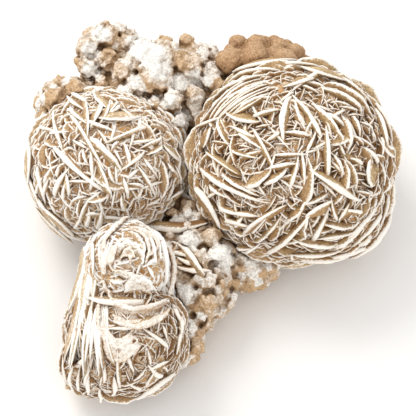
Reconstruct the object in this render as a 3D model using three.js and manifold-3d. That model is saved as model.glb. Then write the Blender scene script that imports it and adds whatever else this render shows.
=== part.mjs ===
import * as THREE from "three";
import { mergeVertices } from "three/addons/utils/BufferGeometryUtils.js";
import Module from "manifold-3d";

// Gypsum sand rose: three globular roses of lens-shaped crystals that grew through each other,
// a knobbly sandy crust behind and between them, and the matrix that joins them underneath.
// Millimetres, +Z up. The origin is on the resting plane, below the middle of the cluster.

const wasm = await Module();
wasm.setup();

// The front of the cluster is studied along one line of sight, looking towards +Y and down.
// Places on it are given as [across, up] in the plane that faces this line of sight.
const SIGHT_ELEVATION = THREE.MathUtils.degToRad(60);
const ACROSS = new THREE.Vector3(1, 0, 0);
const UP = new THREE.Vector3(0, Math.sin(SIGHT_ELEVATION), Math.cos(SIGHT_ELEVATION));
const TOWARDS = new THREE.Vector3(0, -Math.cos(SIGHT_ELEVATION), Math.sin(SIGHT_ELEVATION));

// Rounded masses: middle and half-widths along X, Y and Z.
const RIGHT_ROSE = { middle: [31.4, 20.3, 36], half: [42, 42, 38] };
const RIGHT_SHOULDER = { middle: [48.6, 5.1, 28], half: [22, 22, 22] };
const LEFT_ROSE = { middle: [-42.6, 23, 29], half: [33, 32, 30] };
const LOWER_ROSE = { middle: [-35, -53, 24], half: [25.2, 25.6, 25.6] };
const LOWER_FAN = { middle: [-46, -60.5, 18], half: [16, 15.5, 16] };
const BUD = { middle: [-34.2, -30.5, 44], half: [17.5, 17.5, 15] };
const NECK = { middle: [-33, -36, 28], half: [18, 18, 20] };
const CRUST = { middle: [-20, 55, 24], half: [38, 27, 27] };
const CRUST_CORNER = { middle: [-43, 70, 34], half: [14, 13, 14] };
const CRUST_LEFT = { middle: [-57.5, 50, 28], half: [16, 14, 16] };
const SLAB = { middle: [20, 62.5, 40], half: [20, 13.5, 13] };
const SADDLE = { middle: [-6, -12, 16], half: [19, 34, 20] };
const SKIRT = { middle: [11.5, -12, 12], half: [17.5, 14, 13] };
const TAIL = { middle: [-11, -46, 11], half: [9, 13, 11] };
const MATRIX = { middle: [-2, 22, 9], half: [42, 36, 15] };
const MATRIX_FRONT = { middle: [-19, -18, 8], half: [20, 30, 12] };

// Middle of the cluster's outline on the resting plane, which becomes the origin.
const OUTLINE_MIDDLE = [-0.1, 5.45];

// Shares of a mass's half-widths: the solid heart of a rose and the body of a crust, where a
// blade comes out and its crest, and the middles of the lumps.
const HEART_SHARE = 0.88;
const CRUST_SHARE = 0.92;
const ROOT_LIFT = 0.92;
const CREST_LIFT = 1.05;
const LUMP_LIFT = 0.97;

// A blade is a flat lens with few sides, as many times as thick in the middle as at its rim as
// the swell says. A wide one has one side more.
const SMALL_BLADE_SIDES = 6;
const LARGE_BLADE_SIDES = 7;
const LARGE_BLADE = 11;
const BLADE_SWELL = 2.4;
const WIDEST_BLADE = 22;

// Blades that can be told apart on the front of each rose. Each is three points of its rim,
// where it comes out, its crest and where it goes in, as [across, up] from the rose's middle,
// and then the thickness of the rim.
const RIGHT_BLADES = [
  [-1.2, 28.8, -3.6, 20, -5.2, 9.6, 3],
  [-0.8, 25.6, 5.8, 19.4, 11.2, 6, 2.4],
  [2, 31.2, 10.4, 36, 16.4, 38.4, 1.6],
  [0, 30.4, 5.2, 32.4, 12, 33.2, 2],
  [12, 32.4, 25.2, 27.6, 32.8, 16, 2],
  [8, 23.2, 16, 16, 21.6, 3.6, 2.4],
  [19.6, 20, 23.2, 12.8, 22.4, 4.8, 2],
  [29.6, 26.4, 35.2, 18, 35.2, 10.8, 1.6],
  [12, 16, 14.4, 4.8, 12, -7.2, 2],
  [19.2, 2.8, 22.4, -6.4, 19.6, -12.4, 2],
  [10.8, -8.4, 21.6, -13.2, 32.4, -19.2, 2.8],
  [6.4, 0.8, 8, -10.4, 2.4, -20.4, 2],
  [14.4, -14.4, 8.8, -18.8, 2.4, -23.2, 2],
  [12.4, -20, 10, -28.4, 6.8, -33.6, 2.4],
  [2, -24, -4.4, -33.6, -16.4, -40.8, 2.8],
  [-12, -21.2, -17.6, -26.4, -26.4, -32.8, 1.6],
  [-40.8, 7.6, -33, 2.2, -29.6, -1.2, 1.2],
  [-41.2, 2.8, -32.8, -7.2, -16.8, -14, 2.4],
  [-30.4, -0.4, -24, -8.8, -16, -11.2, 2],
  [-20.8, -11.2, -14.4, -9.2, -8.8, -5.2, 2],
  [-38, -6.4, -34.6, -16, -28, -23.2, 3],
  [-30, 20, -22.8, 27.6, -8.8, 30.4, 1.4],
  [-27.2, 32, -16.8, 36.8, -0.8, 37.6, 1.4],
  [-22.8, 36, -10.8, 39.6, 3.2, 40.8, 1.6],
  [-22.8, 19.6, -16.8, 24.8, -6.8, 26, 1.4],
  [-30.8, 20, -29.6, 13.6, -26.8, 7.6, 1.6],
  [-28.8, 20.4, -24, 17.2, -16.8, 16, 1.6],
  [-17.2, 18, -12, 6.8, -8.4, -0.4, 1.6],
  [-28, 5.2, -21.6, 3.2, -16, 0.8, 1.6],
  [-12, -10.4, -6.4, -6.8, -1.6, -2.4, 2],
  [-0.4, 0.8, 0.8, -5.2, -4, -14.8, 1.6],
];

const LEFT_BLADES = [
  [-7.6, 12, 0.4, 6, 7.2, -4, 3],
  [-24, 6.8, -13.6, -0.8, -1.2, -12, 2.8],
  [-22.4, 26.8, -21.2, 17.6, -18.8, 12.8, 1.6],
  [-18.8, 28.8, -14.6, 26.2, -10.8, 22.8, 1.6],
  [-10.8, 33.2, -8, 24, -8, 18, 1.2],
  [-11.6, 18.4, -4.8, 16.8, 4.4, 12.4, 1.6],
  [-1.6, 17.6, 7.2, 17.8, 16.4, 19.6, 2],
  [4.4, 11.2, 12, 14.4, 23.2, 16.4, 1.6],
  [16.4, 6, 11.8, 1.8, 6.8, -2.8, 1.6],
  [22.4, 2.8, 24.4, -6.8, 22.4, -14.8, 1.6],
  [-17.2, -4, -20.2, -9.4, -22.8, -15.2, 2],
  [-2, -20.8, -3.4, -24.4, -4.8, -28, 2.4],
  [-5.6, 6, -0.8, -4, 2.4, -12, 1.2],
  [-29.6, -16, -22, -24.4, -14, -31.2, 1.2],
  [-26.8, -14, -18.8, -22.8, -10.8, -29.2, 1.2],
];

const BUD_BLADES = [
  [-4.4, 0, 0, 6.4, 5.2, 0, 1.6],
  [-8.8, 2.8, -0.4, 12, 8.4, 2.8, 1.8],
  [0, 18.4, -4, 14.8, -8, 8.8, 2.4],
  [4.8, 13.6, 12, 7.6, 9.6, 2.8, 1.8],
  [12.8, 10, 17.2, -3.2, 14.8, -15.2, 2.8],
  [-4, -7.2, 4.8, -12.8, 12.8, -8, 2],
  [-14, 4, -13, -4, -8, -10, 1.8],
];

const LOWER_BLADES = [
  [-8, 17.6, 0.8, 13.6, 16.8, 16, 3],
  [-3.2, 4.8, 8.8, 6, 16.8, 13.6, 3],
  [-9.6, -5.2, -2.4, -7.2, 5.2, -2, 3],
  [-15.2, 19.6, -20.3, 6, -23.5, -6, 1.2],
  [-12.8, 19.6, -17.4, 6, -19.8, -6, 1.2],
  [-10.4, 19.6, -14.6, 6, -16.2, -6, 1.2],
  [-14.8, -7.2, -18.4, -10, -22, -12.4, 1.2],
  [-13.6, -9.6, -15.2, -16.4, -17.2, -23.2, 1.6],
  [-8, -8.8, -8, -15.2, -8.8, -21.2, 2],
  [-2.8, -9.2, -2.8, -17.2, -2, -24, 1.8],
  [10.8, -12.8, 9.6, -16.8, 7.2, -20.4, 1.4],
  [8.8, 3.6, 14, -1.2, 19.6, -6, 1.6],
  [21.2, 11.2, 22.4, 7, 22, 3.6, 2],
  [16, -15.2, 9.6, -22.2, -1.2, -24.8, 2.4],
];

// Ledges on the lower right of the right rose, and the outermost blades of the lower fan.
const SHOULDER_BLADES = [
  [22.4, 10, 24.2, 4, 22.4, -1.6, 2],
  [22.8, -4, 17.2, -14, 6, -22.8, 2.4],
  [15, 0, 10, -9, 1, -16, 2],
];
const FAN_BLADES = [
  [-13.6, 4, -15.6, -2, -14, -8, 1.6],
  [-10, -2, -11, -8, -10.4, -13.6, 1.6],
  [-3, -5, -4, -10.6, -4, -15.6, 2],
];

// Loose plates that stand out of the crust between the roses, from the middle of the saddle.
const SADDLE_BLADES = [
  [-16.2, 10.8, -5.4, 3.6, -2.6, -0.4, 2.4],
  [-11.4, 2.8, -8.2, 1.2, -5, 0, 2],
  [-10.6, -2.8, -3.4, -4.8, 3.8, -5.6, 2.4],
];

// Lumps of the crust that can be told apart, each [across, up] from its mass and its radius.
const CRUST_LUMPS = [
  [-25, 2, 5], [-16, 3, 5.5], [-15, 14, 6],
  [-9, 18, 8], [-1, 19, 8], [-4, 10, 8], [-10, 7, 6], [-4, -3, 5.5], [-10, -8, 5], [4, 1, 5.5],
  [13, 2, 5], [6, -8, 5.5], [15, -6, 5], [7, -17, 5], [11, 14, 7], [20, 12, 6.5], [23, 5, 7],
  [-34, 4, 5.5],
];
const CRUST_LEFT_LUMPS = [
  [-6, 4, 5.5], [2, 7, 5.5], [9, 5, 5], [-1, -1, 6],
];
const CRUST_CORNER_LUMPS = [
  [-8, 5, 6], [0, 9, 6], [8, 6, 5.5], [-7, -4, 5.5], [1, -1, 6],
];
const SLAB_LUMPS = [
  [-13, 2, 7], [-3, 3, 7], [8, 1, 7],
];
const TAIL_LUMPS = [
  [1, 4, 5], [4, -3, 4.5], [-2, -9, 4.5],
];
const SADDLE_LUMPS = [
  [-4, 7, 4.5], [5, 8, 5], [0, 0, 5], [9, 1, 5], [3, -9, 5], [-5, -15, 5], [3, -18, 5],
];

// Repeats where the photograph doesn't reach: blades and lumps spread evenly over a mass.
const GOLDEN_ANGLE = Math.PI * (3 - Math.sqrt(5));
const FACING_SHARE = 0.3;

const GROUND_WIDTH = 400;
const GROUND_DEPTH = 100;

const GYPSUM = new THREE.MeshStandardMaterial({ color: 0xe6d2b6, roughness: 0.85, metalness: 0 });

// A repeatable number from 0 to 1 for each whole number.
function chance(index) {
  const wave = Math.sin(index * 12.9898 + 4.1414) * 43758.5453;
  return wave - Math.floor(wave);
}

function asSolid(geometry) {
  geometry.deleteAttribute("normal");
  geometry.deleteAttribute("uv");
  const merged = mergeVertices(geometry, 1e-4);
  const mesh = new wasm.Mesh({
    numProp: 3,
    vertProperties: new Float32Array(merged.attributes.position.array),
    triVerts: new Uint32Array(merged.index.array),
  });
  return new wasm.Manifold(mesh);
}

// A point of a mass's surface, seen at [across, up] from its middle. Past the mass's outline
// the point lies where the line of sight comes closest to the mass.
function onSurface(mass, across, up, lift) {
  const offset = ACROSS.clone().multiplyScalar(across).addScaledVector(UP, up);
  const squares = mass.half.map((value) => value * value);
  const towards = TOWARDS.toArray();
  const place = offset.toArray();
  let a = 0;
  let b = 0;
  let c = -lift * lift;
  for (let axis = 0; axis < 3; axis += 1) {
    a += towards[axis] ** 2 / squares[axis];
    b += (2 * towards[axis] * place[axis]) / squares[axis];
    c += place[axis] ** 2 / squares[axis];
  }
  const depth = (-b + Math.sqrt(Math.max(b * b - 4 * a * c, 0))) / (2 * a);
  return offset.addScaledVector(TOWARDS, depth).add(new THREE.Vector3(...mass.middle));
}

// A round lens through three points of its rim, with its crest at the middle one.
function bladeThrough(start, crest, end, thickness) {
  const chord = end.clone().sub(start);
  const along = chord.clone().normalize();
  const halfChord = chord.length() / 2;
  const foot = start.clone().add(end).multiplyScalar(0.5);
  const rise = crest.clone().sub(foot);
  rise.addScaledVector(along, -rise.dot(along));
  const height = rise.length();
  const out = rise.clone().normalize();
  const radius = Math.min((halfChord ** 2 + height ** 2) / (2 * height), WIDEST_BLADE);
  const middle = foot.clone().addScaledVector(out, height - radius);
  const facing = new THREE.Vector3().crossVectors(out, along);
  return bladeAt(middle, along, facing, out, radius, thickness);
}

function bladeAt(middle, along, facing, out, radius, thickness) {
  const profile = [
    new THREE.Vector2(0, (-thickness * BLADE_SWELL) / 2),
    new THREE.Vector2(radius, 0),
    new THREE.Vector2(0, (thickness * BLADE_SWELL) / 2),
  ];
  const disc = new THREE.LatheGeometry(
    profile,
    radius > LARGE_BLADE ? LARGE_BLADE_SIDES : SMALL_BLADE_SIDES,
  );
  disc.applyMatrix4(new THREE.Matrix4().makeBasis(along, facing, out));
  disc.translate(middle.x, middle.y, middle.z);
  return asSolid(disc);
}

// A knob with an uneven outside: each corner of the ball is pulled in or pushed out a little.
function lumpAt(centre, radius, seed) {
  const knob = new THREE.IcosahedronGeometry(radius, 0);
  knob.deleteAttribute("normal");
  knob.deleteAttribute("uv");
  const merged = mergeVertices(knob, 1e-4);
  const corners = merged.attributes.position;
  const point = new THREE.Vector3();
  for (let index = 0; index < corners.count; index += 1) {
    point.fromBufferAttribute(corners, index);
    point.multiplyScalar(0.86 + 0.26 * chance(seed * 97 + index));
    corners.setXYZ(index, point.x, point.y, point.z);
  }
  merged.translate(centre.x, centre.y, centre.z);
  return asSolid(merged);
}

function body(mass, share) {
  const ball = new THREE.IcosahedronGeometry(1, 1);
  ball.scale(...mass.half.map((value) => value * share));
  ball.translate(...mass.middle);
  return asSolid(ball);
}

function bladesOf(mass, blades) {
  return blades.map(([startA, startU, crestA, crestU, endA, endU, thickness]) =>
    bladeThrough(
      onSurface(mass, startA, startU, ROOT_LIFT),
      onSurface(mass, crestA, crestU, CREST_LIFT),
      onSurface(mass, endA, endU, ROOT_LIFT),
      thickness,
    ),
  );
}

function lumpsOf(mass, lumps, seed) {
  return lumps.map(([across, up, radius], index) =>
    lumpAt(onSurface(mass, across, up, LUMP_LIFT), radius, seed + index),
  );
}

// Evenly spread directions, kept where keep() says so.
function spread(count, keep) {
  const directions = [];
  for (let index = 0; index < count; index += 1) {
    const z = 1 - (2 * index + 1) / count;
    const ring = Math.sqrt(1 - z * z);
    const turn = index * GOLDEN_ANGLE;
    const direction = new THREE.Vector3(ring * Math.cos(turn), ring * Math.sin(turn), z);
    if (keep(direction)) {
      directions.push([direction, index]);
    }
  }
  return directions;
}

// Blades over the far sides of a rose, which lean and turn a little from one to the next.
function farBlades(mass, count, radius, seed) {
  const hidden = (direction) => direction.dot(TOWARDS) < FACING_SHARE && direction.z > -0.75;
  return spread(count, hidden).map(([direction, index]) => {
    const crest = direction.clone().multiply(new THREE.Vector3(...mass.half));
    crest.multiplyScalar(CREST_LIFT * (0.97 + 0.05 * chance(seed + index)));
    crest.add(new THREE.Vector3(...mass.middle));
    const turn = 2.6 * chance(seed + index * 3) + 2.2 * direction.x - 1.4 * direction.z;
    const level = new THREE.Vector3(-direction.y, direction.x, 0).normalize();
    const upright = new THREE.Vector3().crossVectors(direction, level);
    const along = level.multiplyScalar(Math.cos(turn)).addScaledVector(upright, Math.sin(turn));
    const lean = 0.5 * (chance(seed + index * 7) - 0.5);
    const side = new THREE.Vector3().crossVectors(direction, along);
    const out = direction.clone().addScaledVector(side, lean).normalize();
    const facing = new THREE.Vector3().crossVectors(out, along);
    const size = radius * (0.75 + 0.5 * chance(seed + index * 5));
    const middle = crest.addScaledVector(out, -size);
    return bladeAt(middle, along, facing, out, size, 1.4 + 1.2 * chance(seed + index * 11));
  });
}

function farLumps(mass, count, radius, seed) {
  const hidden = (direction) => direction.dot(TOWARDS) < FACING_SHARE && direction.z > -0.6;
  return spread(count, hidden).map(([direction, index]) => {
    const centre = direction.clone().multiply(new THREE.Vector3(...mass.half));
    centre.multiplyScalar(LUMP_LIFT).add(new THREE.Vector3(...mass.middle));
    return lumpAt(centre, radius * (0.75 + 0.5 * chance(seed + index)), seed + index);
  });
}

// Everything below the resting plane is trimmed off flat.
function aboveGround(solid) {
  const below = new THREE.BoxGeometry(GROUND_WIDTH, GROUND_WIDTH, GROUND_DEPTH);
  below.translate(0, 0, -GROUND_DEPTH / 2);
  return solid.subtract(asSolid(below));
}

const pieces = [
  body(RIGHT_ROSE, HEART_SHARE),
  body(RIGHT_SHOULDER, HEART_SHARE),
  body(LEFT_ROSE, HEART_SHARE),
  body(LOWER_ROSE, HEART_SHARE),
  body(LOWER_FAN, HEART_SHARE),
  body(BUD, HEART_SHARE),
  body(NECK, 1),
  body(CRUST, CRUST_SHARE),
  body(CRUST_CORNER, CRUST_SHARE),
  body(CRUST_LEFT, CRUST_SHARE),
  body(SLAB, CRUST_SHARE),
  body(SADDLE, CRUST_SHARE),
  body(SKIRT, CRUST_SHARE),
  body(TAIL, CRUST_SHARE),
  body(MATRIX, 1),
  body(MATRIX_FRONT, 1),
  ...bladesOf(RIGHT_ROSE, RIGHT_BLADES),
  ...bladesOf(RIGHT_SHOULDER, SHOULDER_BLADES),
  ...bladesOf(LEFT_ROSE, LEFT_BLADES),
  ...bladesOf(LOWER_ROSE, LOWER_BLADES),
  ...bladesOf(LOWER_FAN, FAN_BLADES),
  ...bladesOf(BUD, BUD_BLADES),
  ...bladesOf(SADDLE, SADDLE_BLADES),
  ...farBlades(RIGHT_ROSE, 45, 16, 100),
  ...farBlades(LEFT_ROSE, 28, 13, 300),
  ...farBlades(LOWER_ROSE, 24, 12, 500),
  ...lumpsOf(CRUST, CRUST_LUMPS, 700),
  ...lumpsOf(CRUST_CORNER, CRUST_CORNER_LUMPS, 740),
  ...lumpsOf(CRUST_LEFT, CRUST_LEFT_LUMPS, 750),
  ...lumpsOf(SLAB, SLAB_LUMPS, 800),
  ...lumpsOf(SADDLE, SADDLE_LUMPS, 850),
  ...lumpsOf(TAIL, TAIL_LUMPS, 880),
  ...farLumps(CRUST, 14, 9.5, 900),
  ...farLumps(CRUST_CORNER, 7, 7, 930),
  ...farLumps(CRUST_LEFT, 6, 7, 950),
  ...farLumps(SKIRT, 6, 6, 970),
  ...farLumps(SLAB, 6, 7.5, 1000),
];

// The union's outer skin is the cluster. A gap sealed in between blades is left filled.
const skins = aboveGround(wasm.Manifold.union(pieces)).decompose();
const cluster = skins.reduce((best, skin) => (skin.volume() > best.volume() ? skin : best));
const joined = cluster.getMesh();
const geometry = new THREE.BufferGeometry();
geometry.setAttribute("position", new THREE.BufferAttribute(joined.vertProperties, 3));
geometry.setIndex(new THREE.BufferAttribute(joined.triVerts, 1));
geometry.translate(-OUTLINE_MIDDLE[0], -OUTLINE_MIDDLE[1], 0);
geometry.computeVertexNormals();

const sandRose = new THREE.Mesh(geometry, GYPSUM);
sandRose.name = "sand_rose";

const model = new THREE.Group();
model.add(sandRose);

export default model;
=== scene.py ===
import math

import bmesh
import bpy
import numpy as np
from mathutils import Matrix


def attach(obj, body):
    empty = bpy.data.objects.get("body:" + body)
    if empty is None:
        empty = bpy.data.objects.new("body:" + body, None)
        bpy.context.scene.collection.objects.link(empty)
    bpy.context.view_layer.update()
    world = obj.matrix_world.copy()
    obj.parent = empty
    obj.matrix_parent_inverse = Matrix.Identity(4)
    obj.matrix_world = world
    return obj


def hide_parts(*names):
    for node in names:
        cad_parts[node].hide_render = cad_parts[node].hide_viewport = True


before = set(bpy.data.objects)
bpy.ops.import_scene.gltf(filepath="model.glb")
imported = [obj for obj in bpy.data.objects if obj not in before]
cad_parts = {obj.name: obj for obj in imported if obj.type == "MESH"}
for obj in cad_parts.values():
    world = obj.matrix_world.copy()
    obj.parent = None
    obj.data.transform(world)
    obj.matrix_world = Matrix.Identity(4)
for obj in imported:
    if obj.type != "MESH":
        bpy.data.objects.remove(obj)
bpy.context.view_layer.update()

# The camera looks along +Y and down at the cluster through a long lens, from the front.
# The photograph is 416 pixels wide and high, and 0.4 mm of the cluster fills one pixel.
SIGHT_ELEVATION = math.radians(60)
PHOTO_PIXELS = 416
MM_PER_PIXEL = 0.4
CAMERA_DISTANCE_MM = 2500
SENSOR_MM = 36
NEAR_AND_FAR_M = (0.05, 20)
AIM = np.array([-2.2, 2.2])
SIGHT_MIDDLE = np.array([0.1, -5.45, 30.0])
ACROSS = np.array([1.0, 0.0, 0.0])
UP = np.array([0.0, math.sin(SIGHT_ELEVATION), math.cos(SIGHT_ELEVATION)])
TOWARDS = np.array([0.0, -math.cos(SIGHT_ELEVATION), math.sin(SIGHT_ELEVATION)])
MM = 0.001

aim = SIGHT_MIDDLE + AIM[0] * ACROSS + AIM[1] * UP
camera_data = bpy.data.cameras.new("camera")
camera_data.sensor_width = SENSOR_MM
camera_data.lens = SENSOR_MM * CAMERA_DISTANCE_MM / (PHOTO_PIXELS * MM_PER_PIXEL)
camera_data.clip_start, camera_data.clip_end = NEAR_AND_FAR_M
camera = bpy.data.objects.new("camera", camera_data)
camera.location = (aim + TOWARDS * CAMERA_DISTANCE_MM) * MM
camera.rotation_euler = (math.radians(90) - SIGHT_ELEVATION, 0, 0)
bpy.context.collection.objects.link(camera)
bpy.context.scene.camera = camera
bpy.context.scene.view_settings.view_transform = "Standard"


# The studio: a wide soft key light high behind the left shoulder of the cluster, a weak fill
# from the front, white light from all round, and a plain pale floor with a soft shadow.
LIGHT_AIM_MM = np.array([0, 0, 30.0])
FLOOR_MM = 6000


def colour(hex_code):
    """An sRGB hex code as linear red, green, blue and alpha."""
    values = [int(hex_code[place:place + 2], 16) / 255 for place in (0, 2, 4)]
    linear = [v / 12.92 if v <= 0.04045 else ((v + 0.055) / 1.055) ** 2.4 for v in values]
    return (*linear, 1.0)


def soft_light(name, place_mm, width_mm, watts, tint):
    """A square lamp that faces the cluster."""
    light = bpy.data.lights.new(name, "AREA")
    light.size = width_mm * MM
    light.energy = watts
    light.color = colour(tint)[:3]
    lamp = bpy.data.objects.new(name, light)
    place = np.array(place_mm)
    lamp.location = place * MM
    heading = LIGHT_AIM_MM - place
    level = math.hypot(heading[0], heading[1])
    lamp.rotation_euler = (
        math.atan2(level, -heading[2]), 0, math.atan2(-heading[0], heading[1]))
    bpy.context.collection.objects.link(lamp)


soft_light("key_light", (-400, 380, 740), width_mm=480, watts=4.1, tint="FFFAF2")
soft_light("front_fill", (250, -700, 500), width_mm=700, watts=1.2, tint="FFF6EA")

world = bpy.data.worlds.new("studio")
world.use_nodes = True
sky = world.node_tree.nodes["Background"]
sky.inputs["Color"].default_value = colour("FFFFFF")
sky.inputs["Strength"].default_value = 0.88
bpy.context.scene.world = world

floor_bm = bmesh.new()
bmesh.ops.create_grid(floor_bm, x_segments=1, y_segments=1, size=FLOOR_MM / 2 * MM)
floor_mesh = bpy.data.meshes.new("studio_floor")
floor_bm.to_mesh(floor_mesh)
floor_bm.free()
floor = bpy.data.objects.new("studio_floor", floor_mesh)
bpy.context.collection.objects.link(floor)
# White board: matt, so that it takes a shadow without a reflection.
floor_paint = bpy.data.materials.new("matt_white_board")
floor_paint.use_nodes = True
floor_shader = floor_paint.node_tree.nodes["Principled BSDF"]
floor_shader.inputs["Base Color"].default_value = colour("FAFAFA")
floor_shader.inputs["Roughness"].default_value = 0.9
floor_mesh.materials.append(floor_paint)


# The hearts of the roses: the rounded bodies of sand that gypsum overgrew, packed between the
# roots of the blades. They grew outwards from one point each, and show only in the gaps, where
# the finest blades stand in them as a net.

# The middle of the cluster's outline, in mm, which the frame has at its origin.
OUTLINE_MIDDLE = np.array([-0.1, 5.45, 0])


class Mass:
    """A rounded body that part of the cluster grew into, by its middle and half-widths in mm."""

    def __init__(self, middle, half):
        self.middle = np.array(middle, float) - OUTLINE_MIDDLE
        self.half = np.array(half, float)

    def on_surface(self, across, up, lift):
        """The point seen at (across, up) from the middle, on the mass scaled by lift."""
        offset = ACROSS * across + UP * up
        # Where the line of sight meets the body is the nearer root of a quadratic.
        a = np.sum(TOWARDS ** 2 / self.half ** 2)
        b = np.sum(2 * TOWARDS * offset / self.half ** 2)
        c = np.sum(offset ** 2 / self.half ** 2) - lift ** 2
        depth = (-b + math.sqrt(max(b * b - 4 * a * c, 0))) / (2 * a)
        return self.middle + offset + TOWARDS * depth

    def share(self, points):
        """How far out each point lies, where the mass's own surface is 1."""
        return np.linalg.norm((points - self.middle) / self.half, axis=1)


# Middles and half-widths in mm, as in the solids.
RIGHT_ROSE = Mass([31.4, 20.3, 36], [42, 42, 38])
RIGHT_SHOULDER = Mass([48.6, 5.1, 28], [22, 22, 22])
LEFT_ROSE = Mass([-42.6, 23, 29], [33, 32, 30])
LOWER_ROSE = Mass([-35, -53, 24], [25.2, 25.6, 25.6])
LOWER_FAN = Mass([-46, -60.5, 18], [16, 15.5, 16])
BUD = Mass([-34.2, -30.5, 44], [17.5, 17.5, 15])
NECK = Mass([-33, -36, 28], [18, 18, 20])

HEART_SHARE = 0.94
HEART_VOXEL_MM = 1.55
HEART_BUMPS_MM = [(9, 3), (3.4, 1.4)]
GROUND_GAP_MM = 0.2


def add_piece(name, mesh, material):
    """Puts one piece of the cluster in the frame, in place of the solid."""
    piece = bpy.data.objects.new(name, mesh)
    bpy.context.collection.objects.link(piece)
    mesh.materials.clear()
    mesh.materials.append(material)
    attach(piece, "root")
    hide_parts("sand_rose")


def trim_at_ground(mesh):
    """Cuts off what would reach below the resting plane and closes the cut."""
    bm = bmesh.new()
    bm.from_mesh(mesh)
    everything = bm.verts[:] + bm.edges[:] + bm.faces[:]
    cut = bmesh.ops.bisect_plane(
        bm, geom=everything, dist=1e-6, plane_co=(0, 0, GROUND_GAP_MM * MM),
        plane_no=(0, 0, 1), clear_inner=True)
    edges = [item for item in cut["geom_cut"] if isinstance(item, bmesh.types.BMEdge)]
    bmesh.ops.holes_fill(bm, edges=edges)
    bm.to_mesh(mesh)
    bm.free()


def ball_blank(subdivisions):
    """A ball of radius 1, as arrays of its corners and sides."""
    bm = bmesh.new()
    bmesh.ops.create_icosphere(bm, subdivisions=subdivisions, radius=1)
    bm.verts.index_update()
    corners = np.array([vert.co[:] for vert in bm.verts])
    sides = np.array([[vert.index for vert in face.verts] for face in bm.faces])
    bm.free()
    return corners, sides


BODY_BLANK = ball_blank(5)


def joined_balls(name, balls):
    """One mesh of many balls: each is a blank, its middle and its half-widths in mm."""
    points, faces, count = [], [], 0
    for (corners, sides), middle, half in balls:
        points.append(corners * half + middle)
        faces.append(sides + count)
        count += len(corners)
    mesh = bpy.data.meshes.new(name)
    mesh.from_pydata(np.concatenate(points) * MM, [], np.concatenate(faces))
    return mesh


def remeshed(name, mesh, voxel_mm, bumps_mm):
    """One closed skin around a mesh, roughened by clouds of given sizes and heights in mm."""
    draft = bpy.data.objects.new(name + "_draft", mesh)
    bpy.context.collection.objects.link(draft)
    remesh = draft.modifiers.new("skin", "REMESH")
    remesh.mode = "VOXEL"
    remesh.voxel_size = voxel_mm * MM
    for size_mm, height_mm in bumps_mm:
        clouds = bpy.data.textures.new(f"{name}_{size_mm}", "CLOUDS")
        clouds.noise_scale = size_mm * MM
        clouds.noise_depth = 2
        rough = draft.modifiers.new("rough", "DISPLACE")
        rough.texture = clouds
        rough.texture_coords = "LOCAL"
        rough.strength = height_mm * MM
    evaluated = draft.evaluated_get(bpy.context.evaluated_depsgraph_get())
    finished = bpy.data.meshes.new_from_object(evaluated)
    bpy.data.objects.remove(draft)
    finished.name = name
    trim_at_ground(finished)
    finished.polygons.foreach_set("use_smooth", [True] * len(finished.polygons))
    return finished


def add_node(tree, kind, settings=None, links=None):
    """A node with its settings and socket values, linked from other nodes' outputs."""
    made = tree.nodes.new(kind)
    for name, value in (settings or {}).items():
        if isinstance(name, int):
            made.inputs[name].default_value = value
        elif name in made.inputs:
            made.inputs[name].default_value = value
        else:
            setattr(made, name, value)
    for socket, output in (links or {}).items():
        tree.links.new(output, made.inputs[socket])
    return made


def fine_lattice(name, hollow_sand, sand, frost):
    """Sand with the frosted edges of the smallest blades standing out of it as a fine net.

    The grains are drawn at 0.6 mm, two or three times their real size, or they wouldn't show.
    """
    grain_mm, patch_mm = 0.6, 6
    material = bpy.data.materials.new(name)
    material.use_nodes = True
    tree = material.node_tree
    shader = tree.nodes["Principled BSDF"]
    place = add_node(tree, "ShaderNodeTexCoord").outputs["Object"]
    edges = []
    for cell_mm, edge_mm in ((4.2, 0.24), (2.6, 0.15)):
        cells = add_node(tree, "ShaderNodeTexVoronoi", {
            "feature": "DISTANCE_TO_EDGE", "Scale": 1 / (cell_mm * MM)}, {"Vector": place})
        edges.append(add_node(tree, "ShaderNodeMapRange", {
            "From Min": 1.6 * edge_mm / cell_mm, "From Max": 0.5 * edge_mm / cell_mm}, {
            "Value": cells.outputs["Distance"]}).outputs[0])
    net = add_node(tree, "ShaderNodeMath", {"operation": "MAXIMUM"}, {
        0: edges[0], 1: edges[1]}).outputs[0]
    grains = add_node(tree, "ShaderNodeTexNoise", {
        "Scale": 1 / (grain_mm * MM), "Detail": 2}, {"Vector": place})
    patches = add_node(tree, "ShaderNodeTexNoise", {
        "Scale": 1 / (patch_mm * MM), "Detail": 3}, {"Vector": place})
    light_sand = add_node(tree, "ShaderNodeMapRange", {"From Min": 0.35, "From Max": 0.65}, {
        "Value": patches.outputs["Fac"]})
    ground = add_node(tree, "ShaderNodeMix", {
        "data_type": "RGBA", 6: colour(hollow_sand), 7: colour(sand)}, {0: light_sand.outputs[0]})
    worn = add_node(tree, "ShaderNodeMapRange", {"From Min": 0.25, "From Max": 0.6}, {
        "Value": grains.outputs["Fac"]})
    white = add_node(tree, "ShaderNodeMath", {"operation": "MULTIPLY"}, {
        0: net, 1: worn.outputs[0]})
    paint = add_node(tree, "ShaderNodeMix", {"data_type": "RGBA", 7: colour(frost)}, {
        0: white.outputs[0], 6: ground.outputs[2]})
    tree.links.new(paint.outputs[2], shader.inputs["Base Color"])
    shader.inputs["Roughness"].default_value = 0.85
    shader.inputs["Specular IOR Level"].default_value = 0.3
    relief = add_node(tree, "ShaderNodeMath", {"operation": "MULTIPLY_ADD", 1: 0.35}, {
        0: grains.outputs["Fac"], 2: net})
    bump = add_node(tree, "ShaderNodeBump", {"Strength": 0.9, "Distance": 0.5 * MM}, {
        "Height": relief.outputs[0]})
    tree.links.new(bump.outputs["Normal"], shader.inputs["Normal"])
    return material


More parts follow.
